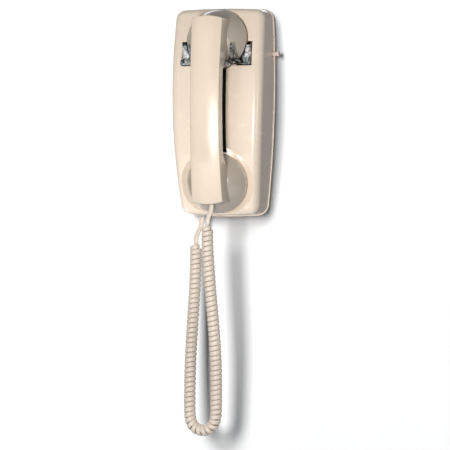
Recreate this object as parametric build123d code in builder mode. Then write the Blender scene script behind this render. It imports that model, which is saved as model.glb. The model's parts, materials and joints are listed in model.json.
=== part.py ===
from build123d import *
import os
from math import asin, cos, pi, radians, sin, sqrt, tan

# Slimline wall telephone, millimetres. +Z is up, the front faces -Y, the wall is the plane y = 0 and the
# object is symmetric about x = 0 but for its cord, ringer and terminals. The origin is the middle of the
# two wall screws, on the wall.

# Housing: a barrel-sided outline on the wall, drafted forward to a front crowned from top to bottom.
HALF_HEIGHT = 111.0
END_ARCH = 1.8
TOP_HALF = 49.6
WIDEST_HALF = 51.3
WIDEST_Z = 50.0
BOTTOM_HALF = 43.2
CORNER_R = 11.5
CROWN_DEPTH = 54.0
CROWN_R = 372.0
DRAFT = 1.6
EDGE_R = 9.0
WALL = 2.5
RIM = 0.8
LOFT_DEPTH = 56.0

# Handset seats: each cap's axis follows the crown, SEAT_Z above and below the middle.
SEAT_Z = 76.0
TILT = asin(SEAT_Z / CROWN_R)
CAP_R = 32.5
CAP_SUNK = 7.0
CAP_PROUD = 3.0
CAP_WALL = 2.2
SEAT_GAP = 1.2
SWEEP_INSET = 0.05
LIFT_ANGLE = radians(50)
LIFT = (0, -cos(LIFT_ANGLE), sin(LIFT_ANGLE))

# Handset bar and bowls.
BOWL_R = 31.9
BOWL_RISE = 20.5
BOWL_TOP_R = 12.0
BOWL_FLANK = (25.4, 9.3)
BAR_END_HALF = 16.7
BAR_MID_HALF = 15.6
BAR_END_Z = 96.5
BAR_ARCH = 2.8
BAR_END_DEPTH = 90.0
BAR_MID_DEPTH = 101.0
BAR_BACK_DEPTH = 80.5
BAR_SKIN = 3.5
BAR_CROWN = 2.2
BAR_RIM_R = 1.0
NECK_Z = 46.0

# Hook window, finger channel and the hook's leaning yoke.
WINDOW_HALF = 38.5
WINDOW_LOW = 48.0
WINDOW_HIGH = 74.0
CHANNEL_HALF = 11.2
CHANNEL_LOW = -44.0
CHANNEL_HIGH = 50.0
LINER_LOW = -41.0
LINER_HIGH = 47.5
LINER_DEPTH = 27.0
SHEET = 1.6
YOKE_DEPTH = 57.5
YOKE_LOW = 48.8
YOKE_HIGH = 71.0
PIVOT_DEPTH = 21.0
PIVOT_Z = 44.0
ARM_OUT = 37.8

# Back plate and its wall screws.
PLATE = 1.5
SCREW_SPACING = 83.0
SCREW_HOLE_R = 2.6

# Cord: a flat cord wound into a springy coil of COIL_D outer diameter.
COIL_D = 12.8
LEAD_D = 4.2
BASE_JACK_X = -25.0
BASE_JACK_DEPTH = 16.0
HANDSET_JACK_DEPTH = 70.0


def crown_depth(z):
    """Depth of the housing's front at height z."""
    return CROWN_DEPTH - CROWN_R + sqrt(CROWN_R**2 - z**2)


def seat(side):
    """Plane of a handset seat on the crown: side 1 above, -1 below; its normal points out of the housing."""
    return Plane(
        origin=(0, -crown_depth(SEAT_Z), side * SEAT_Z),
        x_dir=(1, 0, 0),
        z_dir=(0, -cos(TILT), side * sin(TILT)),
    )


EAR = seat(1)
MOUTH = seat(-1)


def axial(plane):
    """Plane that holds the given plane's normal, for half profiles of (radius, height)."""
    return Plane(origin=plane.origin, x_dir=plane.x_dir, z_dir=plane.x_dir.cross(plane.z_dir))


def save(piece, name):
    piece.part.label = name
    export_step(piece.part, f"parts/{name}.step")


def block(low, high):
    """Plain block between two corners."""
    size = [b - a for a, b in zip(low, high)]
    middle = [(a + b) / 2 for a, b in zip(low, high)]
    with BuildPart() as solid:
        with Locations(tuple(middle)):
            Box(*size)
    return solid.part


def disc(plane, low, high, radius, hole=0.0):
    """Round plate or ring on a plane, between two heights above it."""
    with BuildPart() as solid:
        with BuildSketch(plane.offset(low)):
            Circle(radius)
            if hole:
                Circle(hole, mode=Mode.SUBTRACT)
        extrude(amount=high - low)
    return solid.part


def prism(profile, low, high):
    """Closed (y, z) profile, extruded in X from low to high."""
    with BuildPart() as solid:
        with BuildSketch(Plane.YZ.offset(low)):
            with BuildLine():
                Polyline(*profile, close=True)
            make_face()
        extrude(amount=high - low)
    return solid.part


def tube(points, diameter, name=""):
    """Round tube along straight runs joined by arcs that each take up nearly half of their shorter run."""
    path = [Vector(*p) for p in points]
    runs = [b - a for a, b in zip(path, path[1:])]
    turns = [a.get_angle(b) for a, b in zip(runs, runs[1:])]
    radii = [
        0.45 * min(a.length, b.length) / tan(radians(turn / 2)) for a, b, turn in zip(runs, runs[1:], turns)
    ]
    with BuildPart() as solid:
        with BuildLine() as line:
            FilletPolyline(*path, radius=radii)
        with BuildSketch(Plane(origin=path[0], z_dir=runs[0])):
            Circle(diameter / 2)
        sweep(path=line.line)
    if name:
        length = sum(edge.length for edge in line.edges())
        share = solid.part.volume / (length * pi * diameter**2 / 4)
        print(name, "length", round(length, 1), "volume share", round(share, 4))
        print(name, "radii", [round(r, 1) for r in radii])
    return solid.part


os.makedirs("parts", exist_ok=True)


# --- Housing ---------------------------------------------------------------------------------------------


def outline(plane, inset):
    """Front outline of the housing, drawn in by inset."""
    corner_z = HALF_HEIGHT - END_ARCH - inset
    with BuildSketch(plane) as face:
        with BuildLine():
            right = ThreePointArc(
                (TOP_HALF - inset, corner_z),
                (WIDEST_HALF - inset, WIDEST_Z),
                (BOTTOM_HALF - inset, -corner_z),
            )
            bottom = ThreePointArc(right @ 1, (0, inset - HALF_HEIGHT), (inset - BOTTOM_HALF, -corner_z))
            left = ThreePointArc(bottom @ 1, (inset - WIDEST_HALF, WIDEST_Z), (inset - TOP_HALF, corner_z))
            ThreePointArc(left @ 1, (0, HALF_HEIGHT - inset), right @ 0)
        make_face()
        fillet(face.vertices(), radius=CORNER_R - inset)
    return face.sketch


def crowned_block(inset, back):
    """Solid inside the housing's outer surface, drawn in by inset, from y = back to the crown."""
    reach = HALF_HEIGHT + 5
    end_depth = crown_depth(reach) - inset
    with BuildPart() as solid:
        loft([outline(Plane.XZ.offset(-back), inset), outline(Plane.XZ.offset(LOFT_DEPTH), inset + DRAFT)])
        with BuildSketch(Plane.YZ):
            with BuildLine():
                front = ThreePointArc((-end_depth, reach), (inset - CROWN_DEPTH, 0), (-end_depth, -reach))
                Polyline(front @ 1, (back + 1, -reach), (back + 1, reach), front @ 0)
            make_face()
        extrude(amount=WIDEST_HALF + 5, both=True, mode=Mode.INTERSECT)
        fillet(solid.faces().sort_by(Axis.Y)[0].edges(), radius=EDGE_R - inset)
    return solid.part


def seat_tool(plane, side, grow):
    """Room that a cap takes in its seat and sweeps as it lifts, grown by a distance on every side."""
    rounding = CAP_SUNK + grow
    core = CAP_R - CAP_SUNK
    lead = LIFT_ANGLE - side * TILT
    with BuildPart() as solid:
        with BuildSketch(plane.offset(-rounding)):
            Circle(core + rounding)
        extrude(amount=rounding + 14)
        fillet(solid.faces().sort_by(Axis(plane.origin, plane.z_dir))[0].edges(), radius=rounding - 0.05)
        for share in (0.0, 0.25, 0.5, 0.75, 1.0):
            angle = share * lead
            with BuildSketch(plane.offset(SWEEP_INSET - rounding * sin(angle))):
                Circle(core + rounding * cos(angle) - SWEEP_INSET)
            extrude(amount=45, dir=LIFT)
    return solid.part


DISH_PROFILE = [(0, -3.6), (33.2, -3.6), (40.2, 0.0), (44.0, 2.0), (0, 2.0)]


def dish():
    """Shallow cone round the lower seat, open to the front."""
    with BuildPart() as solid:
        with BuildSketch(axial(MOUTH)):
            with BuildLine():
                Polyline(*DISH_PROFILE, close=True)
            make_face()
        revolve(axis=Axis(MOUTH.origin, MOUTH.z_dir))
    return solid.part


BOSSES = [(x, z) for x in (-36.0, 36.0) for z in (-32.0, 30.0)]
BOSS_R = 3.6
BOSS_HOLE_R = 1.4
BOSS_BACK = PLATE + 0.5


def slab(inset, back, front):
    """Flat piece of the housing's outline, drawn in by inset, between two depths."""
    with BuildPart() as solid:
        with BuildSketch(Plane.XZ.offset(back)):
            add(outline(Plane.XY, inset))
        extrude(amount=front - back)
    return solid.part


def studs(places, back, front, radius, hole=0.0):
    """Round posts or tubes that stand forward from a depth, at (x, z) places."""
    with BuildPart() as solid:
        with BuildSketch(Plane.XZ.offset(back)):
            with Locations(*places):
                Circle(radius)
                if hole:
                    Circle(hole, mode=Mode.SUBTRACT)
        extrude(amount=front - back)
    return solid.part


outer = crowned_block(0, 0)
with BuildPart() as seat_walls:
    add(seat_tool(EAR, 1, SEAT_GAP + WALL))
    add(seat_tool(MOUTH, -1, SEAT_GAP + WALL))
    add(outer, mode=Mode.INTERSECT)

with BuildPart() as housing:
    add(outer)
    add(crowned_block(WALL, 2.0), mode=Mode.SUBTRACT)
    add(slab(-RIM, 0, 2))
    add(slab(WALL, -1, 3), mode=Mode.SUBTRACT)
    add(seat_walls.part)
    add(studs(BOSSES, BOSS_BACK, crown_depth(32) - WALL / 2, BOSS_R))
    add(seat_tool(EAR, 1, SEAT_GAP), mode=Mode.SUBTRACT)
    add(seat_tool(MOUTH, -1, SEAT_GAP), mode=Mode.SUBTRACT)
    add(dish(), mode=Mode.SUBTRACT)
    add(studs(BOSSES, BOSS_BACK, 16, BOSS_HOLE_R), mode=Mode.SUBTRACT)
    for side in (-1, 1):
        near, far = sorted((side * 20.8, side * WINDOW_HALF))
        add(block((near, -70, WINDOW_LOW), (far, -28, WINDOW_HIGH)), mode=Mode.SUBTRACT)
    add(block((-WINDOW_HALF, -70, WINDOW_LOW), (WINDOW_HALF, -46, WINDOW_HIGH)), mode=Mode.SUBTRACT)
    add(block((-CHANNEL_HALF, -70, CHANNEL_LOW), (CHANNEL_HALF, -38, CHANNEL_HIGH)), mode=Mode.SUBTRACT)
    add(
        block(
            (BASE_JACK_X - 6.4, -BASE_JACK_DEPTH - 5.4, -HALF_HEIGHT - 2),
            (BASE_JACK_X + 6.4, -BASE_JACK_DEPTH + 5.4, -HALF_HEIGHT + 6),
        ),
        mode=Mode.SUBTRACT,
    )
    add(block((WIDEST_HALF - 8, -9, 57), (WIDEST_HALF + 3, -5, 67)), mode=Mode.SUBTRACT)
save(housing, "housing")

with BuildPart() as channel_liner:
    reach = CHANNEL_HALF + 1.5
    add(block((-reach, -60, LINER_LOW - 1.5), (reach, -LINER_DEPTH, LINER_HIGH + 1.5)))
    add(crowned_block(WALL + 0.3, 2.0), mode=Mode.INTERSECT)
    add(seat_tool(EAR, 1, SEAT_GAP + WALL + 0.4), mode=Mode.SUBTRACT)
    add(seat_tool(MOUTH, -1, SEAT_GAP + WALL + 0.4), mode=Mode.SUBTRACT)
    add(
        block((-CHANNEL_HALF, -70, LINER_LOW), (CHANNEL_HALF, -LINER_DEPTH - 1.5, LINER_HIGH)),
        mode=Mode.SUBTRACT,
    )
save(channel_liner, "channel_liner")

# --- Back plate and housing screws -----------------------------------------------------------------------

WIRE_HOLE = (0.0, -8.0)
WIRE_HOLE_R = 9.0

with BuildPart() as back_plate:
    add(slab(WALL + 0.4, 0, PLATE))
    with Locations((0, 0, SCREW_SPACING / 2), (0, 0, -SCREW_SPACING / 2)):
        Cylinder(SCREW_HOLE_R, 8, rotation=(90, 0, 0), mode=Mode.SUBTRACT)
    with Locations((WIRE_HOLE[0], 0, WIRE_HOLE[1])):
        Cylinder(WIRE_HOLE_R, 8, rotation=(90, 0, 0), mode=Mode.SUBTRACT)
    for x, z in BOSSES:
        with Locations(Location((x, 0, z), (90, 0, 0))):
            CounterSinkHole(radius=1.8, counter_sink_radius=3.2, depth=8)
save(back_plate, "back_plate")

with BuildPart() as housing_screws:
    for x, z in BOSSES:
        with BuildSketch(Plane(origin=(x, 0.2, z), x_dir=(1, 0, 0), z_dir=(0, 0, 1))):
            with BuildLine():
                Polyline((0, -0.2), (2.9, -0.2), (1.35, -1.9), (1.35, -13), (0, -13.5), close=True)
            make_face()
        revolve(axis=Axis((x, 0, z), (0, 1, 0)))
save(housing_screws, "housing_screws")

# --- Handset ---------------------------------------------------------------------------------------------


def bowl(plane, inset):
    """Steep-sided dome that rises from a cap, drawn in by inset."""
    low = CAP_PROUD + 0.3
    flank_r, flank_h = BOWL_FLANK
    with BuildPart() as solid:
        with BuildSketch(axial(plane)):
            with BuildLine():
                flank = ThreePointArc(
                    (BOWL_R - inset, low),
                    (flank_r - 0.8 * inset, low + flank_h - 0.6 * inset),
                    (BOWL_TOP_R - 0.5 * inset, low + BOWL_RISE - inset),
                )
                Polyline(flank @ 1, (0, low + BOWL_RISE - inset), (0, low), flank @ 0)
            make_face()
        revolve(axis=Axis(plane.origin, plane.z_dir))
    return solid.part


def crown_tool(inset):
    """Room behind the bar's front, which is crowned across as well as bowed from end to end."""
    reach = BAR_END_Z + BAR_ARCH
    bow = BAR_MID_DEPTH - BAR_END_DEPTH
    hub = (reach**2 + bow**2) / (2 * bow) - BAR_MID_DEPTH
    side = BAR_END_HALF + 3
    edge = inset + BAR_CROWN * (side / BAR_MID_HALF) ** 2 - BAR_MID_DEPTH
    with BuildPart() as solid:
        with BuildSketch(Plane.XY):
            with BuildLine():
                front = ThreePointArc((-side, edge), (0, inset - BAR_MID_DEPTH), (side, edge))
                Polyline(front @ 1, (side, -30), (-side, -30), front @ 0)
            make_face()
        revolve(axis=Axis((0, hub, 0), (1, 0, 0)), revolution_arc=40)
    return solid.part.rotate(Axis((0, hub, 0), (1, 0, 0)), -20)


def bar(inset):
    """The handset's bowed bar, drawn in by inset: a side profile cut to its waisted front outline."""
    end = BAR_END_Z - inset
    with BuildPart() as solid:
        with BuildSketch(Plane.YZ):
            with BuildLine():
                proud = BAR_END_DEPTH + 15
                front = Line((-proud, end + BAR_ARCH), (-proud, -end - BAR_ARCH))
                back = ThreePointArc(
                    (-BAR_BACK_DEPTH - inset + 2.2, -NECK_Z),
                    (-BAR_BACK_DEPTH - inset, 0),
                    (-BAR_BACK_DEPTH - inset + 2.2, NECK_Z),
                )
                Polyline(front @ 1, (-46.5 - inset, -end - BAR_ARCH), (-53.5 - inset, -62), back @ 0)
                Polyline(back @ 1, (-53.5 - inset, 62), (-46.5 - inset, end + BAR_ARCH), front @ 0)
            make_face()
        extrude(amount=BAR_END_HALF + 2, both=True)
        with BuildSketch(Plane.XZ):
            with BuildLine():
                half, waist = BAR_END_HALF - inset, BAR_MID_HALF - inset
                right = ThreePointArc((half, end), (waist, 0), (half, -end))
                low = ThreePointArc(right @ 1, (0, -end - BAR_ARCH), (-half, -end))
                left = ThreePointArc(low @ 1, (-waist, 0), (-half, end))
                ThreePointArc(left @ 1, (0, end + BAR_ARCH), right @ 0)
            make_face()
        extrude(amount=BAR_MID_DEPTH + 10, mode=Mode.INTERSECT)
        add(crown_tool(inset), mode=Mode.INTERSECT)
    return solid.part


def rounded_bar():
    """The bar with a crisp front rim, a rounded grip behind and eased necks."""
    with BuildPart() as solid:
        add(bar(0))
        fillet(solid.faces().sort_by(Axis.Y)[0].edges(), radius=BAR_RIM_R)
        necks = [e for e in solid.edges().filter_by(Axis.X) if abs(abs(e.center().Z) - NECK_Z) < 1]
        fillet(necks, radius=14)
        middles = [(e, e.center()) for e in solid.edges()]
        grip = [e for e, c in middles if abs(c.X) > 10 and -84 < c.Y < -70 and abs(c.Z) < 5]
        fillet(grip, radius=5)
    return solid.part


SPIGOT_R = CAP_R - CAP_WALL - 0.4
JACK_LOW = -BAR_END_Z - BAR_ARCH - 1

with BuildPart() as handset_shell:
    add(rounded_bar())
    add(bowl(EAR, 0))
    add(bowl(MOUTH, 0))
    add(bar(BAR_SKIN), mode=Mode.SUBTRACT)
    for plane in (EAR, MOUTH):
        add(bowl(plane, 3.0), mode=Mode.SUBTRACT)
        add(disc(plane, -2.0, CAP_PROUD + 0.31, SPIGOT_R, SPIGOT_R - 2.4))
    add(
        block((-5.6, -HANDSET_JACK_DEPTH - 4.4, JACK_LOW), (5.6, -HANDSET_JACK_DEPTH + 4.4, JACK_LOW + 10)),
        mode=Mode.SUBTRACT,
    )
save(handset_shell, "handset_shell")


def cap(plane, rings):
    """Screw-on cap: a shallow round cup with a rounded face, pierced by rings of small holes."""
    axis = Axis(plane.origin, plane.z_dir)
    with BuildPart() as solid:
        add(disc(plane, -CAP_SUNK, CAP_PROUD, CAP_R))
        fillet(solid.faces().sort_by(axis)[0].edges(), radius=CAP_SUNK - 0.6)
        fillet(solid.faces().sort_by(axis)[-1].edges(), radius=0.6)
        with BuildPart(mode=Mode.PRIVATE) as hollow:
            add(disc(plane, CAP_WALL - CAP_SUNK, CAP_PROUD + 1, CAP_R - CAP_WALL))
            fillet(hollow.faces().sort_by(axis)[0].edges(), radius=CAP_SUNK - CAP_WALL - 0.2)
        add(hollow.part, mode=Mode.SUBTRACT)
        with BuildSketch(plane.offset(-CAP_SUNK - 1)):
            Circle(1.1)
            for radius, count in rings:
                with PolarLocations(radius, count):
                    Circle(1.1)
        extrude(amount=CAP_WALL + 2, mode=Mode.SUBTRACT)
    return solid


save(cap(EAR, [(6, 6)]), "receiver_cap")
save(cap(MOUTH, [(5.5, 6), (11, 12), (16.5, 18)]), "transmitter_cap")


with BuildPart() as receiver_gasket:
    add(disc(EAR, CAP_WALL - CAP_SUNK + 0.05, CAP_WALL - CAP_SUNK + 0.55, 24, 20))
save(receiver_gasket, "receiver_gasket")

with BuildPart() as receiver_capsule:
    add(disc(EAR, CAP_WALL - CAP_SUNK + 0.6, CAP_PROUD, 25))
    add(disc(EAR, CAP_PROUD, CAP_PROUD + 3, 18))
save(receiver_capsule, "receiver_capsule")

with BuildPart() as transmitter_capsule:
    add(disc(MOUTH, CAP_WALL - CAP_SUNK + 0.1, 0, 25))
save(transmitter_capsule, "transmitter_capsule")

with BuildPart() as transmitter_cup:
    add(disc(MOUTH, 0.2, CAP_PROUD, SPIGOT_R - 2.9, 22))
    add(disc(MOUTH, CAP_PROUD, CAP_PROUD + 3, 24.0))
save(transmitter_cup, "transmitter_cup")

with BuildPart() as transmitter_contacts:
    add(disc(MOUTH, 0.15, CAP_PROUD - 0.1, 3.0))
    add(disc(MOUTH, 0.15, CAP_PROUD - 0.1, 12.0, 9.5))
save(transmitter_contacts, "transmitter_contacts")


# --- Modular jacks and plugs -----------------------------------------------------------------------------

PLUG_HALF_W = 3.8
PLUG_HALF_D = 3.2
JACK_PLAY = 0.3
HANDSET_PLUG_LOW = -99.5
BASE_PLUG_LOW = -112.5
PLUG_LENGTH = 13.0


def jack(x, depth, low, half_w, half_d, length):
    """Jack body with its plug cavity open at the bottom."""
    cavity_w, cavity_d = PLUG_HALF_W + JACK_PLAY, PLUG_HALF_D + JACK_PLAY
    with BuildPart() as solid:
        add(block((x - half_w, -depth - half_d, low), (x + half_w, -depth + half_d, low + length)))
        top = low + length - 1.5
        cavity = block((x - cavity_w, -depth - cavity_d, low - 1), (x + cavity_w, -depth + cavity_d, top))
        add(cavity, mode=Mode.SUBTRACT)
    return solid


def plug(x, depth, low):
    """Clear modular plug with a thin latch along its back."""
    with BuildPart() as solid:
        top = low + PLUG_LENGTH
        add(block((x - PLUG_HALF_W, -depth - PLUG_HALF_D, low), (x + PLUG_HALF_W, -depth + 1.6, top)))
        chamfer(solid.faces().sort_by(Axis.Z)[-1].edges(), length=0.6)
        add(block((x - 1.6, -depth + 1.6, low + 1), (x + 1.6, -depth + PLUG_HALF_D, top - 2)))
    return solid


with BuildPart() as handset_leads:
    add(
        tube(
            [
                (0, -HANDSET_JACK_DEPTH, -82.2),
                (0, -80, -66),
                (0, -90, -38),
                (0, -91.5, 0),
                (0, -90, 38),
                (0, -80, 60),
                (0, -63, 76.5),
                (0, -53, 77.6),
            ],
            2.4,
        )
    )
save(handset_leads, "handset_leads")

handset_jack = jack(0, HANDSET_JACK_DEPTH, -BAR_END_Z - 2.0, 5.3, 4.1, 13.5)
save(handset_jack, "handset_jack")
save(plug(0, HANDSET_JACK_DEPTH, HANDSET_PLUG_LOW), "handset_plug")
base_jack = jack(BASE_JACK_X, BASE_JACK_DEPTH, -HALF_HEIGHT + 4, 6.0, 5.0, 14.5)
with base_jack:
    add(
        block(
            (BASE_JACK_X - 6, -BASE_JACK_DEPTH + 5, -HALF_HEIGHT + 6),
            (BASE_JACK_X + 6, -PLATE, -HALF_HEIGHT + 18.5),
        )
    )
save(base_jack, "base_jack")
save(plug(BASE_JACK_X, BASE_JACK_DEPTH, BASE_PLUG_LOW), "base_plug")

# --- Hook lever, its pivot and its switch ----------------------------------------------------------------

LEAN = 1 / tan(LIFT_ANGLE)
YOKE_OUTLINE = [
    (12.2, YOKE_LOW),
    (30.0, YOKE_LOW),
    (30.0, 51.5),
    (25.6, 57.0),
    (23.9, YOKE_HIGH),
    (22.7, YOKE_HIGH),
    (16.8, 54.5),
    (12.2, 51.4),
]


def yoke_depth(z):
    return YOKE_DEPTH + (z - YOKE_LOW) * LEAN


def leaning_yoke():
    """The two tines and the web that joins each to its arm, a sheet that leans along the lift."""
    skin = SHEET / sin(LIFT_ANGLE)
    top = YOKE_HIGH + 1
    low_depth, top_depth = yoke_depth(YOKE_LOW), yoke_depth(top)
    sheet = [
        (-low_depth, YOKE_LOW),
        (-top_depth, top),
        (-top_depth - skin, top),
        (-low_depth - skin, YOKE_LOW),
    ]
    with BuildPart() as solid:
        add(prism(sheet, -ARM_OUT, ARM_OUT))
        with BuildSketch(Plane.XZ):
            with BuildLine():
                Polyline(*YOKE_OUTLINE, close=True)
            make_face()
            mirror(about=Plane.YZ)
        extrude(amount=100, mode=Mode.INTERSECT)
    return solid.part


CHEEK_TOP = 70.0
ARM_OUTLINE = [
    (-17.5, 40.5),
    (-25.0, 40.5),
    (-45.0, YOKE_LOW),
    (-YOKE_DEPTH - 1, YOKE_LOW),
    (-YOKE_DEPTH - 1, 52.0),
    (-50.6, 58.0),
    (-50.6, CHEEK_TOP),
    (-45.5, CHEEK_TOP),
    (-45.5, 56.0),
    (-17.5, 56.0),
]
CHEEK_IN = 21.5
CHEEK_DEPTHS = (49.0, 50.6)

with BuildPart() as hook_lever:
    for side in (-1, 1):
        arm_in, arm_out = sorted((side * (ARM_OUT - SHEET), side * ARM_OUT))
        add(prism(ARM_OUTLINE, arm_in, arm_out))
        near, far = sorted((side * CHEEK_IN, side * ARM_OUT))
        add(block((near, -YOKE_DEPTH - 1, YOKE_LOW), (far, -46.0, YOKE_LOW + SHEET)))
        add(block((near, -CHEEK_DEPTHS[1], YOKE_LOW), (far, -CHEEK_DEPTHS[0], CHEEK_TOP)))
    add(disc(EAR, -6, 14, CAP_R + 1.3), mode=Mode.SUBTRACT)
    add(leaning_yoke())
    add(block((-ARM_OUT, -23.6, 50.5), (ARM_OUT, -22.0, 56.0)))
    with Locations((0, -PIVOT_DEPTH, PIVOT_Z)):
        Cylinder(1.55, 90, rotation=(0, 90, 0), mode=Mode.SUBTRACT)
save(hook_lever, "hook_lever")

with BuildPart() as hook_actuator:
    add(block((-10, -21.9, 50.8), (-4, -15.6, 54)))
save(hook_actuator, "hook_actuator")

with BuildPart() as hook_pivot_pin:
    with Locations((0, -PIVOT_DEPTH, PIVOT_Z)):
        Cylinder(1.5, 79, rotation=(0, 90, 0))
    chamfer(hook_pivot_pin.edges(), length=0.4)
save(hook_pivot_pin, "hook_pivot_pin")

with BuildPart() as hook_brackets:
    for side in (-1, 1):
        near, far = sorted((side * 16.0, side * 35.2))
        add(block((near, -PLATE - SHEET, 38), (far, -PLATE, 50)))
        near, far = sorted((side * 33.6, side * 35.2))
        add(prism([(-PLATE, 38), (-24.5, 40.5), (-24.5, 47.5), (-PLATE, 50)], near, far))
    with Locations((0, -PIVOT_DEPTH, PIVOT_Z)):
        Cylinder(1.5, 90, rotation=(0, 90, 0), mode=Mode.SUBTRACT)
save(hook_brackets, "hook_brackets")

BRACKET_SCREWS = [(side * x, 44.0) for side in (-1, 1) for x in (20.0, 29.0)]


def pan_screws(places, seat_depth, head_r, head_h):
    """Pan-head screws that face forward, their heads on a surface at seat_depth."""
    with BuildPart() as solid:
        for x, z in places:
            with BuildSketch(Plane(origin=(x, -seat_depth, z), x_dir=(1, 0, 0), z_dir=(0, 0, 1))):
                with BuildLine():
                    rim = (head_r, -head_h * 0.6)
                    Polyline((0, 0), (head_r, 0), rim, (head_r * 0.6, -head_h), (0, -head_h), close=True)
                make_face()
            revolve(axis=Axis((x, 0, z), (0, 1, 0)))
        with BuildSketch(Plane.XZ.offset(seat_depth + head_h)):
            with Locations(*places):
                Rectangle(head_r * 2.4, 0.6)
        extrude(amount=-head_h * 0.45, mode=Mode.SUBTRACT)
    return solid


save(pan_screws(BRACKET_SCREWS, PLATE + SHEET, 2.8, 1.8), "bracket_screws")

with BuildPart() as hook_return_spring:
    with BuildLine():
        coil = Helix(pitch=1.5, height=13.5, radius=2.8, center=(24, -4.0, 53.2), direction=(0, -1, 0))
    with BuildSketch(Plane(origin=coil @ 0, z_dir=coil % 0)):
        Circle(0.4)
    sweep(path=coil, is_frenet=True)
save(hook_return_spring, "hook_return_spring")

STACK = (-12.0, -2.0)
LEAF_DEPTHS = (6.6, 8.8, 11.0, 13.2)

with BuildPart() as contact_leaves:
    for depth in LEAF_DEPTHS:
        add(block((STACK[0] + 2, -depth - 0.4, 24), (STACK[1] - 2, -depth, 53.6)))
save(contact_leaves, "contact_leaves")

with BuildPart() as contact_insulators:
    add(block((STACK[0], -15.6, 23), (STACK[1], -PLATE, 31)))
    add(contact_leaves.part, mode=Mode.SUBTRACT)
save(contact_insulators, "contact_insulators")

save(pan_screws([(STACK[0] + 1.4, 27.0), (STACK[1] - 1.4, 27.0)], 15.6, 1.3, 1.2), "contact_screws")

# --- Circuit board ---------------------------------------------------------------------------------------

BOARD_LOW = -33.0
BOARD_HIGH = 20.0
BOARD_HALF = 30.0
BOARD_DEPTH = 8.0
BOARD_CORNERS = [(side * 27.0, z) for side in (-1, 1) for z in (BOARD_LOW + 3.5, BOARD_HIGH - 3.5)]

with BuildPart() as board_standoffs:
    add(studs(BOARD_CORNERS, PLATE, BOARD_DEPTH, 2.8))
save(board_standoffs, "board_standoffs")

with BuildPart() as circuit_board:
    add(block((-BOARD_HALF, -BOARD_DEPTH - 1.6, BOARD_LOW), (BOARD_HALF, -BOARD_DEPTH, BOARD_HIGH)))
    fillet(circuit_board.edges().filter_by(Axis.Y), radius=1.5)
save(circuit_board, "circuit_board")

save(pan_screws(BOARD_CORNERS, BOARD_DEPTH + 1.6, 2.4, 1.6), "board_screws")

BOARD_FACE = BOARD_DEPTH + 1.6
WINDING_X = 20.0

with BuildPart() as transformer_core:
    add(block((WINDING_X - 7.5, -BOARD_FACE - 12, -14), (WINDING_X + 7.5, -BOARD_FACE, 8)))
    for x_low, x_high, near, far in (
        (-8.0, -2.4, 2.4, 9.6),
        (2.4, 8.0, 2.4, 9.6),
        (-8.0, 8.0, 9.6, 13.0),
        (-8.0, 8.0, -1.0, 2.4),
    ):
        left, right = WINDING_X + x_low, WINDING_X + x_high
        window = block((left, -BOARD_FACE - far, -11), (right, -BOARD_FACE - near, 5))
        add(window, mode=Mode.SUBTRACT)
save(transformer_core, "transformer_core")

with BuildPart() as transformer_winding:
    add(block((WINDING_X - 6.8, -BOARD_FACE - 11.8, -10.8), (WINDING_X + 6.8, -BOARD_FACE - 0.2, 4.8)))
    add(transformer_core.part, mode=Mode.SUBTRACT)
save(transformer_winding, "transformer_winding")

with BuildPart() as board_capacitors:
    for x, z, radius in ((-20.0, -20.0, 5.0), (-8.0, -22.0, 4.0), (-20.0, 2.0, 4.0)):
        with Locations((x, -BOARD_FACE - 6.5, z)):
            Cylinder(radius, 13, rotation=(90, 0, 0))
    fillet(board_capacitors.faces().sort_by(Axis.Y)[0:3].edges(), radius=0.8)
save(board_capacitors, "board_capacitors")

TERMINALS = [(x, -28.5) for x in (2.0, 9.0, 16.0)]
save(pan_screws(TERMINALS, BOARD_FACE, 2.6, 2.4), "board_terminals")

with BuildPart() as line_block:
    add(block((5, -11, -68), (35, -PLATE, -54)))
    fillet(line_block.edges().filter_by(Axis.Y), radius=1.5)
    for x in (12.5, 20.0, 27.5):
        add(block((x - 0.6, -12, -69), (x + 0.6, -9, -53)), mode=Mode.SUBTRACT)
save(line_block, "line_block")
save(pan_screws([(x, -61.0) for x in (8.75, 16.25, 23.75, 31.25)], 11.0, 2.4, 2.2), "line_terminals")

with BuildPart() as ringing_capacitor:
    with Locations((20, -9.2, -82)):
        Cylinder(7.0, 30, rotation=(0, 90, 0))
    fillet(ringing_capacitor.edges(), radius=1.0)
save(ringing_capacitor, "ringing_capacitor")

with BuildPart() as base_leads:
    add(
        tube(
            [(BASE_JACK_X, -16, -92.3), (-24, -15.5, -76), (-18, -13, -60), (-13, -12, -46), (-12, -12, -34)],
            3.0,
        )
    )
save(base_leads, "base_leads")

# --- Ringer ----------------------------------------------------------------------------------------------

GONG = (-12.0, 82.0)
GONG_R = 20.0
CLAPPER_PIVOT = (14.0, 100.0)
COIL_X = 27.0
FRAME_FACE = PLATE + SHEET

with BuildPart() as ringer_frame:
    add(block((-20, -FRAME_FACE, 70), (36, -PLATE, 103)))
    fillet(ringer_frame.edges().filter_by(Axis.Y), radius=3)
    add(block((COIL_X - 6, -20, 70), (COIL_X + 6, -PLATE, 70 + SHEET)))
    add(studs([CLAPPER_PIVOT], PLATE, 8.0, 2.4))
    add(studs([GONG], PLATE, 7.0, 3.0))
save(ringer_frame, "ringer_frame")

with BuildPart() as ringer_core:
    with Locations((COIL_X, -13, (70 + SHEET + 97) / 2)):
        Cylinder(2.6, 97 - 70 - SHEET)
save(ringer_core, "ringer_core")

with BuildPart() as ringer_coil:
    for low, high, radius in ((73.0, 74.2, 7.5), (74.2, 92.8, 6.6), (92.8, 94.0, 7.5)):
        with Locations((COIL_X, -13, (low + high) / 2)):
            Cylinder(radius, high - low)
    with Locations((COIL_X, -13, 83)):
        Cylinder(2.62, 30, mode=Mode.SUBTRACT)
save(ringer_coil, "ringer_coil")

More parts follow.
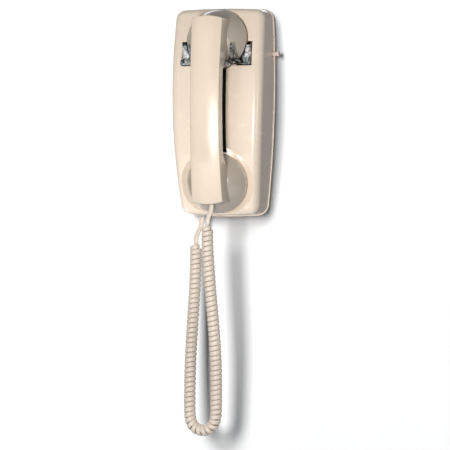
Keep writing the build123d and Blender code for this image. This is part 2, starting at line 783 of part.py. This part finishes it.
with BuildPart() as ringer_gong:
    with BuildSketch(Plane(origin=(GONG[0], 0, GONG[1]), x_dir=(1, 0, 0), z_dir=(0, 0, 1))):
        with BuildLine():
            crown = ThreePointArc((GONG_R, -9), (GONG_R * 0.8, -15.5), (GONG_R * 0.35, -18))
            Polyline(crown @ 1, (1.7, -18), (1.7, -16.8), (GONG_R * 0.35, -16.8))
            under = ThreePointArc((GONG_R * 0.35, -16.8), (GONG_R * 0.74, -14.7), (GONG_R - 1.2, -9))
            Line(under @ 1, crown @ 0)
        make_face()
    revolve(axis=Axis((GONG[0], 0, GONG[1]), (0, 1, 0)))
save(ringer_gong, "ringer_gong")

with BuildPart() as gong_screw:
    add(studs([GONG], 7.0, 18.0, 1.6))
    add(studs([GONG], 18.1, 20.0, 3.2))
    add(studs([GONG], 18.0, 18.1, 1.6))
    add(studs([GONG], 7.0, 16.6, 2.8))
save(gong_screw, "gong_screw")

with BuildPart() as clapper_pin:
    add(studs([CLAPPER_PIVOT], 8.0, 17.5, 1.0))
    add(studs([CLAPPER_PIVOT], 17.5, 18.5, 1.8))
save(clapper_pin, "clapper_pin")

with BuildPart() as clapper:
    add(block((CLAPPER_PIVOT[0] - 3, -16.5, 98.6), (COIL_X + 4, -9.5, 101.4)))
    add(block((CLAPPER_PIVOT[0] - 0.8, -13.8, 84), (CLAPPER_PIVOT[0] + 0.8, -12.2, 99)))
    with Locations((CLAPPER_PIVOT[0], -13, 82)):
        Sphere(3.0)
    add(studs([CLAPPER_PIVOT], 7, 18, 1.05), mode=Mode.SUBTRACT)
save(clapper, "clapper")

LEVER_PIVOT = (38.0, 62.0)

with BuildPart() as loudness_rivet:
    add(studs([LEVER_PIVOT], PLATE, 5.8, 2.8))
    add(studs([LEVER_PIVOT], 5.8, 7.8, 1.5))
    add(studs([LEVER_PIVOT], 7.8, 8.8, 2.6))
save(loudness_rivet, "loudness_rivet")

with BuildPart() as loudness_lever:
    add(block((20, -7.5, 60.2), (58.4, -6.0, 63.8)))
    add(studs([LEVER_PIVOT], 6.0, 7.5, 4.0))
    add(block((57, -12.5, 59.4), (58.4, -6.0, 64.6)))
    add(studs([LEVER_PIVOT], 5, 9, 1.55), mode=Mode.SUBTRACT)
    fillet(loudness_lever.edges().filter_by(Axis.X).sort_by(Axis.Y)[0:2], radius=0.6)
save(loudness_lever, "loudness_lever")

# --- Cord ------------------------------------------------------------------------------------------------

HANDSET_LEAD = [(0, -70, HANDSET_PLUG_LOW), (0, -70.3, -106), (-3.3, -73, -114), (-3.5, -73.5, -121.6)]
CURLY_RUN = [
    (-3.5, -73.5, -122),
    (-3.7, -73, -148),
    (-1.4, -70.5, -188),
    (1.6, -66, -230),
    (2.6, -61, -270),
    (2, -57.8, -300),
    (0.9, -55.4, -333),
    (-13.9, -54, -341.1),
    (-28.7, -52.2, -333),
    (-30.0, -48.5, -304),
    (-30.6, -43, -264),
    (-29.8, -36, -220),
    (-28.8, -29.5, -178),
    (-29.6, -25, -142),
]
BASE_LEAD = [(BASE_JACK_X, -16, BASE_PLUG_LOW), (-25, -16.6, -121), (-29.3, -24, -132), (-29.6, -25, -141.8)]

for name, route, diameter in (
    ("cord_handset_lead", HANDSET_LEAD, LEAD_D),
    ("cord_coil", CURLY_RUN, COIL_D),
    ("cord_base_lead", BASE_LEAD, LEAD_D),
):
    with BuildPart() as stretch:
        add(tube(route, diameter, name))
    save(stretch, name)
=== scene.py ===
import json
import math

import bmesh
import bpy
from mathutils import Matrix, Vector


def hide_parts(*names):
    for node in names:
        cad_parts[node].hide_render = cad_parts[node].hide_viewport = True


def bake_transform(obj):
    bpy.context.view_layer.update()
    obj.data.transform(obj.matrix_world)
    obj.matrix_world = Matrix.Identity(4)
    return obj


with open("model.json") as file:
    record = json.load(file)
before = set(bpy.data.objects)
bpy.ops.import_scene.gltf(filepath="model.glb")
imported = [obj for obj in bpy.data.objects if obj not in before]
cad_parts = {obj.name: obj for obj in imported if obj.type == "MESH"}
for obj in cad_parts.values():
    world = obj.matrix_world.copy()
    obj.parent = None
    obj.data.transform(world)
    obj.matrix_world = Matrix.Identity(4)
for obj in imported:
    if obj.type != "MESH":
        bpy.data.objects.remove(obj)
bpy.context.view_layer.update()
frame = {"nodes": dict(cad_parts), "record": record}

scene = bpy.context.scene

# ---------------------------------------------------------------------------------------------- camera
AZIMUTH = math.radians(15.0)
DISTANCE = 3.5
TARGET = Vector((-0.004, 0.0, -0.121))

camera_data = bpy.data.cameras.new("camera")
camera = bpy.data.objects.new("camera", camera_data)
scene.collection.objects.link(camera)
back = Vector((math.sin(AZIMUTH), -math.cos(AZIMUTH), 0.0))
camera.location = TARGET + back * DISTANCE
camera.rotation_mode = "QUATERNION"
camera.rotation_quaternion = (-back).to_track_quat("-Z", "Y")
camera_data.sensor_width = 36.0
camera_data.lens = 260.0
camera_data.clip_start = 0.05
camera_data.clip_end = 60.0
scene.camera = camera


# ------------------------------------------------------------------------------------------- materials
# The Mix node repeats its sockets for each data type; these are the places of the colour ones.
MIX_FACTOR = 0
MIX_COLOUR_A = 6
MIX_COLOUR_B = 7
MIX_COLOUR_OUT = 2


def new_material(name):
    material = bpy.data.materials.new(name)
    material.use_nodes = True
    shader = material.node_tree.nodes["Principled BSDF"]
    return material, material.node_tree, shader


def noise(tree, scale, detail=4.0, rough=0.5, distort=0.0, stretch=(1, 1, 1)):
    """Noise in the object's own metres; stretch squeezes it along an axis."""
    where = tree.nodes.new("ShaderNodeTexCoord")
    place = tree.nodes.new("ShaderNodeMapping")
    place.inputs["Scale"].default_value = stretch
    tree.links.new(where.outputs["Object"], place.inputs["Vector"])
    field = tree.nodes.new("ShaderNodeTexNoise")
    field.inputs["Scale"].default_value = scale
    field.inputs["Detail"].default_value = detail
    field.inputs["Roughness"].default_value = rough
    field.inputs["Distortion"].default_value = distort
    tree.links.new(place.outputs["Vector"], field.inputs["Vector"])
    return field.outputs["Fac"]


def spread(tree, source, low, high, start=0.3, end=0.7):
    """Source remapped to a number between low and high."""
    remap = tree.nodes.new("ShaderNodeMapRange")
    remap.inputs["From Min"].default_value = start
    remap.inputs["From Max"].default_value = end
    remap.inputs["To Min"].default_value = low
    remap.inputs["To Max"].default_value = high
    tree.links.new(source, remap.inputs["Value"])
    return remap.outputs["Result"]


def ramp(tree, source, stops):
    """Source turned into a colour by (position, colour) stops."""
    node = tree.nodes.new("ShaderNodeValToRGB")
    band = node.color_ramp
    while len(band.elements) < len(stops):
        band.elements.new(0.5)
    for element, (position, colour) in zip(band.elements, stops):
        element.position = position
        element.color = (*colour, 1.0)
    tree.links.new(source, node.inputs["Fac"])
    return node.outputs["Color"]


def bump(tree, shader, height, strength, distance, after=None):
    """Relief on the shader's normal, laid over an earlier relief if one is given."""
    node = tree.nodes.new("ShaderNodeBump")
    node.inputs["Strength"].default_value = strength
    node.inputs["Distance"].default_value = distance
    tree.links.new(height, node.inputs["Height"])
    if after is not None:
        tree.links.new(after, node.inputs["Normal"])
    tree.links.new(node.outputs["Normal"], shader.inputs["Normal"])
    return node.outputs["Normal"]


def shade(colour, factor):
    """Colour made lighter or darker by a factor."""
    return tuple(min(1.0, c * factor) for c in colour)


def paint_shade_by_depth(tree, colour, near, far, tint):
    """Colour multiplied by a tint where the surface lies deeper than far, fading out towards near:
    painted shade.
    """
    where = tree.nodes.new("ShaderNodeTexCoord")
    split = tree.nodes.new("ShaderNodeSeparateXYZ")
    tree.links.new(where.outputs["Object"], split.inputs["Vector"])
    mix = tree.nodes.new("ShaderNodeMix")
    mix.data_type = "RGBA"
    mix.blend_type = "MULTIPLY"
    depth = spread(tree, split.outputs["Y"], 0.0, 1.0, near, far)
    tree.links.new(depth, mix.inputs[MIX_FACTOR])
    tree.links.new(colour, mix.inputs[MIX_COLOUR_A])
    mix.inputs[MIX_COLOUR_B].default_value = (*tint, 1.0)
    return mix.outputs[MIX_COLOUR_OUT]


def plastic(name, colour, rough=(0.2, 0.3), grain=0.00004, coat=0.0, tone=0.04, scale=1400.0,
            painted_shade=None):
    """Moulded plastic: uneven tone, a faint moulded grain, gloss that handling has dulled and, if
    asked, painted shade deepening towards the wall.
    """
    material, tree, shader = new_material(name)
    cloud = noise(tree, 9.0, 5.0, 0.6, 0.4)
    stops = [
        (0.3, shade(colour, 1.0 - 2 * tone)),
        (0.5, colour),
        (0.72, shade(colour, 1.0 + tone)),
    ]
    skin_colour = ramp(tree, cloud, stops)
    # Painted shade, when asked for: the colour is darkened towards the wall.
    if painted_shade:
        skin_colour = paint_shade_by_depth(tree, skin_colour, *painted_shade)
    tree.links.new(skin_colour, shader.inputs["Base Color"])
    handled = noise(tree, 38.0, 6.0, 0.65, 0.8)
    tree.links.new(spread(tree, handled, *rough), shader.inputs["Roughness"])
    skin = bump(tree, shader, noise(tree, scale, 2.0), 0.35, grain)
    bump(tree, shader, noise(tree, 24.0, 1.0), 0.12, 0.0002, skin)
    shader.inputs["Coat Weight"].default_value = coat
    shader.inputs["Coat Roughness"].default_value = 0.08
    return material


def metal(name, colour, rough=(0.2, 0.4), brushed=(1, 1, 1), scale=700.0):
    """Metal with a brushed or rolled grain and faint spots where the plate has dulled."""
    material, tree, shader = new_material(name)
    shader.inputs["Metallic"].default_value = 1.0
    cloud = noise(tree, 60.0, 6.0, 0.6, 0.5)
    tone = 0.08
    stops = [
        (0.3, shade(colour, 1.0 - 2 * tone)),
        (0.55, colour),
        (0.75, shade(colour, 1.0 + tone)),
    ]
    tree.links.new(ramp(tree, cloud, stops), shader.inputs["Base Color"])
    grain = noise(tree, scale, 3.0, 0.5, 0.0, brushed)
    tree.links.new(spread(tree, grain, *rough), shader.inputs["Roughness"])
    bump(tree, shader, grain, 0.3, 0.00003)
    return material


def clear(name, colour):
    """Clear moulded plastic, a little cloudy and finely scuffed."""
    material, tree, shader = new_material(name)
    cloud = noise(tree, 220.0, 3.0)
    stops = [(0.3, shade(colour, 0.94)), (0.7, colour)]
    tree.links.new(ramp(tree, cloud, stops), shader.inputs["Base Color"])
    rough = 0.06
    scuffs = spread(tree, noise(tree, 500.0), rough, rough + 0.1)
    tree.links.new(scuffs, shader.inputs["Roughness"])
    shader.inputs["Transmission Weight"].default_value = 0.72
    shader.inputs["IOR"].default_value = 1.58
    return material


def board(name):
    """Brown laminate, patterned in angular cells like a board's tracks."""
    material, tree, shader = new_material(name)
    where = tree.nodes.new("ShaderNodeTexCoord")
    tracks = tree.nodes.new("ShaderNodeTexVoronoi")
    tracks.distance = "MANHATTAN"
    tracks.feature = "F1"
    tracks.inputs["Scale"].default_value = 160.0
    tree.links.new(where.outputs["Object"], tracks.inputs["Vector"])
    stops = [
        (0.0, (0.50, 0.30, 0.12)),
        (0.42, (0.36, 0.20, 0.07)),
        (0.6, (0.28, 0.16, 0.06)),
    ]
    tree.links.new(ramp(tree, tracks.outputs["Distance"], stops), shader.inputs["Base Color"])
    tree.links.new(spread(tree, noise(tree, 400.0), 0.35, 0.55), shader.inputs["Roughness"])
    bump(tree, shader, tracks.outputs["Distance"], 0.3, 0.00005)
    return material


def winding(name):
    """Enamelled copper wire, turn beside turn."""
    material, tree, shader = new_material(name)
    where = tree.nodes.new("ShaderNodeTexCoord")
    wires = tree.nodes.new("ShaderNodeTexWave")
    wires.bands_direction = "Z"
    wires.inputs["Scale"].default_value = 900.0
    wires.inputs["Distortion"].default_value = 0.6
    tree.links.new(where.outputs["Object"], wires.inputs["Vector"])
    stops = [
        (0.0, (0.22, 0.07, 0.02)),
        (0.6, (0.62, 0.26, 0.09)),
        (1.0, (0.78, 0.38, 0.16)),
    ]
    tree.links.new(ramp(tree, wires.outputs["Fac"], stops), shader.inputs["Base Color"])
    shader.inputs["Metallic"].default_value = 0.7
    tree.links.new(spread(tree, noise(tree, 300.0), 0.3, 0.45), shader.inputs["Roughness"])
    bump(tree, shader, wires.outputs["Fac"], 0.6, 0.0001)
    return material


def chrome(name):
    """Bright plate, slightly wavy and dull in patches; its colour is darkened in patches as a painted
    dark reflection.
    """
    material, tree, shader = new_material(name)
    shader.inputs["Metallic"].default_value = 1.0
    cloud = noise(tree, 130.0, 5.0, 0.6, 1.2)
    # Painted reflection: the near-black stops stand in for a dark room mirrored in the plate.
    stops = [
        (0.36, (0.05, 0.056, 0.058)),
        (0.5, (0.17, 0.182, 0.182)),
        (0.66, (0.56, 0.56, 0.545)),
    ]
    tree.links.new(ramp(tree, cloud, stops), shader.inputs["Base Color"])
    tree.links.new(spread(tree, noise(tree, 90.0, 4.0), 0.08, 0.24), shader.inputs["Roughness"])
    waves = bump(tree, shader, noise(tree, 75.0, 2.0, 0.5, 0.6), 0.8, 0.0016)
    bump(tree, shader, noise(tree, 420.0, 3.0), 0.3, 0.00006, waves)
    return material


HOUSING_BEIGE = (0.79, 0.665, 0.54)
# Painted shade: the handset's beige is a darker copy of the housing's, toning down the handle, which
# stands nearer the lamps.
HANDSET_BEIGE = (0.745, 0.625, 0.49)
# Painted shade that darkens the handset's bowls: none as far as the first Y, on the handset's front,
# and the full tint past the second, nearer the wall.
HANDSET_PAINTED_SHADE = (-0.093, -0.066, (0.66, 0.68, 0.71))
MATERIALS = {
    "housing_plastic": plastic("housing_gloss", HOUSING_BEIGE, (0.20, 0.30), coat=0.25),
    "handset_plastic": plastic(
        "handset_gloss", HANDSET_BEIGE, (0.18, 0.27), coat=0.35, painted_shade=HANDSET_PAINTED_SHADE
    ),
    # Painted shade: the near-black liner in the handle's channel stands where the handle's shadow
    # falls.
    "black_plastic": plastic(
        "channel_shadow_black", (0.003, 0.003, 0.003), (0.75, 0.9), grain=0.0001, scale=900
    ),
    "chrome": chrome("hook_chrome"),
    "plate_steel": metal("zinc_plate", (0.52, 0.52, 0.50), (0.32, 0.5), (1, 1, 6), 300.0),
    "screw_steel": metal("screw_steel", (0.55, 0.54, 0.51), (0.25, 0.4), (1, 6, 1), 500.0),
    "spring_steel": metal("spring_wire", (0.40, 0.40, 0.41), (0.25, 0.35)),
    "brass": metal("brass", (0.78, 0.56, 0.22), (0.18, 0.35), (1, 1, 4), 500.0),
    "board": board("laminate"),
    "dark_phenolic": plastic("phenolic", (0.035, 0.03, 0.028), (0.3, 0.42), grain=0.00006),
    "winding": winding("enamelled_wire"),
    "sleeve": plastic("capacitor_sleeve", (0.03, 0.07, 0.20), (0.2, 0.3)),
    "paper_can": plastic(
        "waxed_paper", (0.50, 0.40, 0.20), (0.4, 0.55), grain=0.0001, scale=500
    ),
    "capsule": metal("capsule_shell", (0.70, 0.70, 0.69), (0.28, 0.45), (1, 1, 1), 900.0),
    "rubber": plastic("gasket_rubber", (0.02, 0.02, 0.02), (0.6, 0.8), grain=0.0001),
    "nylon": plastic("nylon", (0.80, 0.77, 0.68), (0.35, 0.5), tone=0.03),
    "lever_plastic": plastic("lever_gloss", (0.80, 0.60, 0.57), (0.2, 0.32), tone=0.05),
    "clear_plastic": clear("clear_plug", (0.86, 0.87, 0.86)),
    "cord_vinyl": plastic(
        "cord_vinyl", (0.76, 0.655, 0.555), (0.30, 0.42), grain=0.00005, tone=0.05, scale=1800
    ),
    "wire_jacket": plastic("wire_jacket", (0.25, 0.24, 0.23), (0.4, 0.5)),
}

slot_of = {row["node"]: row["material_slot"] for row in frame["record"]["subparts"]}
# The handset's mouldings have a look of their own, with painted shade: a darker beige than the
# housing's, and deeper painted shade towards the wall.
HANDSET_SKIN = {"handset_shell", "receiver_cap", "transmitter_cap"}


def dress(obj, material):
    """Give an object one material in place of any it has."""
    obj.data.materials.clear()
    obj.data.materials.append(material)


for name, obj in frame["nodes"].items():
    dress(obj, MATERIALS["handset_plastic" if name in HANDSET_SKIN else slot_of[name]])


# ------------------------------------------------------------------------------------------------ cord
def metres(points):
    """Points given in millimetres."""
    return [Vector(p) / 1000.0 for p in points]


# The cord's route: the straight lead at the handset, the coil, and the straight lead at the housing.
HANDSET_LEAD = metres([(0, -70, -99.5), (0, -70.3, -106), (-3.3, -73, -114)])
CURLY_RUN = metres([
    (-3.5, -73.5, -121.8), (-3.7, -73, -148), (-1.4, -70.5, -188), (1.6, -66, -230),
    (2.6, -61, -270), (2, -57.8, -300), (0.9, -55.4, -333), (-13.9, -54, -341.1),
    (-28.7, -52.2, -333), (-30, -48.5, -304), (-30.6, -43, -264), (-29.8, -36, -220),
    (-28.8, -29.5, -178), (-29.6, -25, -141.9),
])
BASE_LEAD = metres([(-29.3, -24, -132), (-25, -16.6, -121), (-25, -16, -112.5)])

CORD_WIDTH = 0.0050
CORD_THICK = 0.0029
COIL_MEAN_R = 0.00485
PITCH = 0.0053
# The coil runs on a little past the ends of its route, and its turns open up over the length EASE.
COIL_OVERRUN = 0.002
EASE = PITCH * 1.4
# Mesh density: points round the cord, rings in a turn, and the step between rings on the leads.
RING = 16
RINGS_PER_TURN = 26
LEAD_STEP = 0.0007
DENSE_MARGIN = 0.001
# The cord's section is a superellipse with these powers across its width and its thickness.
WIDTH_POWER = 0.72
THICK_POWER = 0.86
# Where the route bends, the turns on its inside are drawn narrower so that they don't overlap.
BEND_REACH = 0.0015
TURN_FILL = 0.985
NARROWEST = 0.5


def route_line(points):
    """Points along the smooth spline that a route's points control."""
    data = bpy.data.curves.new("route", "CURVE")
    data.dimensions = "3D"
    spline = data.splines.new("NURBS")
    spline.points.add(len(points) - 1)
    for knot, point in zip(spline.points, points):
        knot.co = (*point, 1.0)
    spline.order_u = 3
    spline.use_endpoint_u = True
    spline.resolution_u = 24
    carrier = bpy.data.objects.new("route", data)
    scene.collection.objects.link(carrier)
    bpy.context.view_layer.update()
    mesh = bpy.data.meshes.new_from_object(carrier)
    line = [v.co.copy() for v in mesh.vertices]
    bpy.data.objects.remove(carrier)
    bpy.data.meshes.remove(mesh)
    if (line[0] - points[0]).length > (line[-1] - points[0]).length:
        line.reverse()
    return line


class Line:
    """A line's points with their distances along it and a frame that doesn't twist."""

    def __init__(self, points):
        self.points = points
        self.along = [0.0]
        for a, b in zip(points, points[1:]):
            self.along.append(self.along[-1] + (b - a).length)
        self.length = self.along[-1]
        last = len(points) - 1
        self.heading = [
            (points[min(i + 1, last)] - points[max(i - 1, 0)]).normalized() for i in range(last + 1)
        ]
        side = Vector((0, -1, 0))
        self.side = []
        for heading in self.heading:
            side = (side - heading * side.dot(heading)).normalized()
            self.side.append(side.copy())

    def at(self, distance):
        """Point, heading and side at a distance along the line."""
        distance = min(max(distance, 0.0), self.length)
        low, high = 0, len(self.along) - 1
        while high - low > 1:
            middle = (low + high) // 2
            if self.along[middle] <= distance:
                low = middle
            else:
                high = middle
        share = (distance - self.along[low]) / max(1e-9, self.along[high] - self.along[low])
        point = self.points[low].lerp(self.points[high], share)
        heading = self.heading[low].lerp(self.heading[high], share).normalized()
        side = self.side[low].lerp(self.side[high], share)
        side = (side - heading * side.dot(heading)).normalized()
        return point, heading, side

    def nearest(self, point):
        """Distance along the line of its point nearest to the given one."""
        gaps = [(p - point).length for p in self.points]
        return self.along[gaps.index(min(gaps))]


def smooth(share):
    """Share from 0 to 1, eased at both ends."""
    share = min(max(share, 0.0), 1.0)
    return share * share * (3 - 2 * share)


route = Line(route_line(HANDSET_LEAD + CURLY_RUN + BASE_LEAD))
coil_start = route.nearest(CURLY_RUN[0]) - COIL_OVERRUN
coil_end = route.nearest(CURLY_RUN[-1]) + COIL_OVERRUN
# The last turn ends at the front of the coil: whole turns plus the angle from the route's side.
front = Vector((0, -1, 0))
_, end_heading, end_side = route.at(coil_end)
end_cross = end_heading.cross(end_side)
end_turn = math.atan2(front.dot(end_cross), front.dot(end_side))
total_turn = 2 * math.pi * round((coil_end - coil_start) / PITCH) + end_turn


def cord_centre(distance):
    """Centre of the cord at a distance along the route, and its direction out of the coil."""
    point, heading, side = route.at(distance)
    cross = heading.cross(side)
    share = min(max((distance - coil_start) / (coil_end - coil_start), 0.0), 1.0)
    turn = total_turn * share
    opened = min(smooth((distance - coil_start) / EASE), smooth((coil_end - distance) / EASE))
    radius = COIL_MEAN_R * opened
    outward = side * math.cos(turn) + cross * math.sin(turn)
    return point + outward * radius, outward


def sample_distances():
    """Distances along the route for the cord's rings: dense where it is wound."""
    found = []
    distance = 0.0
    while distance < route.length:
        found.append(distance)
        wound = coil_start - DENSE_MARGIN < distance < coil_end + DENSE_MARGIN
        distance += PITCH / RINGS_PER_TURN if wound else LEAD_STEP
    found.append(route.length)
    return found


def make_cord():
    """The whole cord as one mesh of rings, with its centreline and its length along the wire."""
    distances = sample_distances()
    centres, outs = zip(*(cord_centre(d) for d in distances))
    last = len(centres) - 1
    mesh = bmesh.new()
    rings = []
    for i, (centre, out) in enumerate(zip(centres, outs)):
        tangent = (centres[min(i + 1, last)] - centres[max(i - 1, 0)]).normalized()
        thin = (out - tangent * out.dot(tangent)).normalized()
        wide = thin.cross(tangent)
        half_width, half_thick = CORD_WIDTH / 2, CORD_THICK / 2
        point = route.at(distances[i])[0]
        after = route.at(distances[i] + BEND_REACH)[1]
        before = route.at(distances[i] - BEND_REACH)[1]
        squeeze = 1.0 - ((after - before) / (2 * BEND_REACH)).dot(centre - point)
        room = squeeze * PITCH * TURN_FILL / CORD_WIDTH
        half_width *= min(1.0, max(NARROWEST, room))
        ring = []
        for k in range(RING):
            angle = 2 * math.pi * k / RING
            c, s = math.cos(angle), math.sin(angle)
            across = math.copysign(abs(c) ** WIDTH_POWER, c) * half_width
            up = math.copysign(abs(s) ** THICK_POWER, s) * half_thick
            ring.append(mesh.verts.new(centre + wide * across + thin * up))
        rings.append(ring)
    for a, b in zip(rings, rings[1:]):
        for k in range(RING):
            mesh.faces.new((a[k], a[(k + 1) % RING], b[(k + 1) % RING], b[k]))
    mesh.faces.new(list(reversed(rings[0])))
    mesh.faces.new(rings[-1])
    bmesh.ops.recalc_face_normals(mesh, faces=mesh.faces)
    data = bpy.data.meshes.new("curly_cord")
    mesh.to_mesh(data)
    mesh.free()
    for face in data.polygons:
        face.use_smooth = True
    obj = bpy.data.objects.new("curly_cord", data)
    scene.collection.objects.link(obj)
    dress(obj, MATERIALS["cord_vinyl"])
    length = sum((b - a).length for a, b in zip(centres, centres[1:]))
    return obj, [tuple(c) for c in centres], length


cord, cord_path, cord_length = make_cord()
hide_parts("cord_handset_lead", "cord_coil", "cord_base_lead")
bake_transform(cord)


# ------------------------------------------------------------------------------------ stage and lights
def plane(name, corners):
    """A flat piece of the stage."""
    data = bpy.data.meshes.new(name)
    data.from_pydata(corners, [], [(0, 1, 2, 3)])
    obj = bpy.data.objects.new(name, data)
    scene.collection.objects.link(obj)
    return obj


def matt(name, darker, lighter):
    """Matt paint in two slightly uneven tones."""
    material, tree, shader = new_material(name)
    stops = [(0.3, darker), (0.7, lighter)]
    tree.links.new(ramp(tree, noise(tree, 3.0), stops), shader.inputs["Base Color"])
    shader.inputs["Roughness"].default_value = 0.9
    return material, tree, shader


FLOOR_Z = -0.50
floor = plane("floor", [(-2, -2, FLOOR_Z), (2, -2, FLOOR_Z), (2, 0.9, FLOOR_Z), (-2, 0.9, FLOOR_Z)])
dress(floor, matt("pale_floor", (0.86, 0.86, 0.85), (0.89, 0.89, 0.88))[0])
# The lit floor throws no light up at the telephone.
floor.visible_diffuse = False

WALL_Y = 0.003
wall = plane(
    "wall", [(-1.5, WALL_Y, -1.2), (1.5, WALL_Y, -1.2), (1.5, WALL_Y, 1.2), (-1.5, WALL_Y, 1.2)]
)
# The wall can be seen through from behind, so that the telephone's back is visible.
wash, wash_tree, wash_shader = matt("wall_paint", (0.37, 0.37, 0.37), (0.39, 0.39, 0.39))
facing = wash_tree.nodes.new("ShaderNodeNewGeometry")
nothing = wash_tree.nodes.new("ShaderNodeBsdfTransparent")
one_sided = wash_tree.nodes.new("ShaderNodeMixShader")
wash_tree.links.new(facing.outputs["Backfacing"], one_sided.inputs["Fac"])
wash_tree.links.new(wash_shader.outputs["BSDF"], one_sided.inputs[1])
wash_tree.links.new(nothing.outputs["BSDF"], one_sided.inputs[2])
wash_end = wash_tree.nodes["Material Output"]
wash_tree.links.new(one_sided.outputs["Shader"], wash_end.inputs["Surface"])
dress(wall, wash)
# Only the camera sees the wall: it neither lights the telephone nor shows in its gloss.
wall.visible_diffuse = False
wall.visible_glossy = False
wall.visible_transmission = False
wall.visible_shadow = False


def area_light(name, place, aim, size, power, colour=(1, 1, 1), tall=None):
    """A lamp facing a point: size across, and tall if it isn't square; power in watts."""
    data = bpy.data.lights.new(name, "AREA")
    data.energy = power
    data.color = colour
    data.size = size
    if tall:
        data.shape = "RECTANGLE"
        data.size_y = tall
    obj = bpy.data.objects.new(name, data)
    scene.collection.objects.link(obj)
    obj.location = place
    obj.rotation_mode = "QUATERNION"
    obj.rotation_quaternion = (Vector(aim) - Vector(place)).to_track_quat("-Z", "Y")
    return obj


lamps = [
    area_light(
        "key", place=(0.12, -1.35, -0.09), aim=(0, 0, 0.01), size=0.20, tall=0.17,
        power=10.6, colour=(1.0, 0.985, 0.96),
    ),
    area_light(
        "sheet", place=(-0.55, -1.5, 0.25), aim=(0, 0, -0.05), size=1.1,
        power=5.0, colour=(1.0, 0.985, 0.965),
    ),
    area_light(
        "strip", place=(0.95, -0.75, 0.02), aim=(0, -0.03, 0.02), size=0.10, tall=0.35,
        power=1.4, colour=(1.0, 0.98, 0.95),
    ),
    area_light(
        "back_fill", place=(-0.6, 1.5, 0.6), aim=(0, 0, -0.1), size=1.2,
        power=8.0, colour=(0.97, 0.98, 1.0),
    ),
]
# These lamps light everything but the wall. The wall and the floor share a lamp of their own,
# so that the wall stays white and takes one soft shadow.
all_but_wall = bpy.data.collections.new("all_but_wall")
all_but_wall.objects.link(wall)
all_but_wall.collection_objects[0].light_linking.link_state = "EXCLUDE"
for lamp in lamps:
    lamp.light_linking.receiver_collection = all_but_wall
drop = area_light(
    "drop", place=(-0.46, -3.2, 0.54), aim=(0, 0, -0.15), size=0.86, tall=1.4, power=285.0
)
# A small low lamp glances off the dished edge of the lower seat. It lights the housing alone,
# and the handset doesn't shade it.
glance = area_light(
    "glance", place=(-0.73, -0.22, -0.96), aim=(0.022, -0.047, -0.045), size=0.26,
    power=7.0, colour=(0.98, 0.99, 1.0),
)
moulding = bpy.data.collections.new("moulding")
moulding.objects.link(frame["nodes"]["housing"])
glance.light_linking.receiver_collection = moulding
glance.light_linking.blocker_collection = moulding
backdrop = bpy.data.collections.new("backdrop")
backdrop.objects.link(wall)
backdrop.objects.link(floor)
drop.light_linking.receiver_collection = backdrop

# The camera sees a white world; everything else is lit by a dim, slightly blue room.
world = bpy.data.worlds.new("studio")
scene.world = world
world.use_nodes = True
sky = world.node_tree
room = sky.nodes["Background"]
room.inputs["Color"].default_value = (0.80, 0.84, 0.90, 1.0)
room.inputs["Strength"].default_value = 0.30
page = sky.nodes.new("ShaderNodeBackground")
page.inputs["Color"].default_value = (1, 1, 1, 1)
page.inputs["Strength"].default_value = 1.0
path = sky.nodes.new("ShaderNodeLightPath")
either = sky.nodes.new("ShaderNodeMixShader")
sky.links.new(path.outputs["Is Camera Ray"], either.inputs["Fac"])
sky.links.new(room.outputs["Background"], either.inputs[1])
sky.links.new(page.outputs["Background"], either.inputs[2])
sky.links.new(either.outputs["Shader"], sky.nodes["World Output"].inputs["Surface"])

scene.view_settings.view_transform = "Standard"
scene.view_settings.look = "None"
